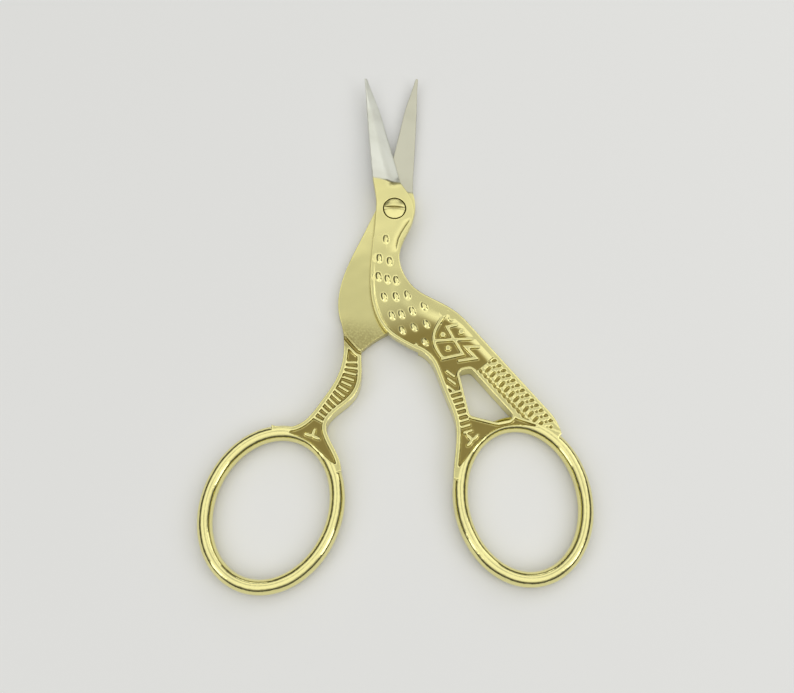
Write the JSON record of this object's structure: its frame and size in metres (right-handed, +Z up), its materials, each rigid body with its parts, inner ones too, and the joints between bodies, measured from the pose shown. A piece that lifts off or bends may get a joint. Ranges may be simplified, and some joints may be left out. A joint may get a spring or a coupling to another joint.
{
  "type": "embroidery scissors",
  "caption": "Embroidery scissors shaped like a stork: two halves with narrow pointed blades and oval finger rings, turning on a slotted screw.",
  "frame": {"origin": "on the pivot axis, in the resting plane: the underside of the back half, level with the screw's lower end", "axes": "+Y along the scissors towards the blade tips, +Z up along the pivot axis towards the screw head, +X towards the front half's finger ring"},
  "size_m": [0.0624, 0.0898, 0.0036],
  "materials": {
    "gilt_steel_front": "gold-plated relief, polished; the blade is bare ground steel",
    "gilt_steel_back": "gold-plated relief, polished; the blade is bare ground steel",
    "screw_steel": "polished, slotted domed head"
  },
  "bodies": {
    "back": {"back_half": "gilt_steel_back", "pivot_screw": "screw_steel"},
    "front": {"front_half": "gilt_steel_front"}
  },
  "joints": [
    {"name": "pivot", "type": "hinge", "parent": "back", "child": "front", "pos_m": [0, 0, 0], "axis": [0, 0, 1], "range_deg": [-18.8, 119.8]}
  ]
}
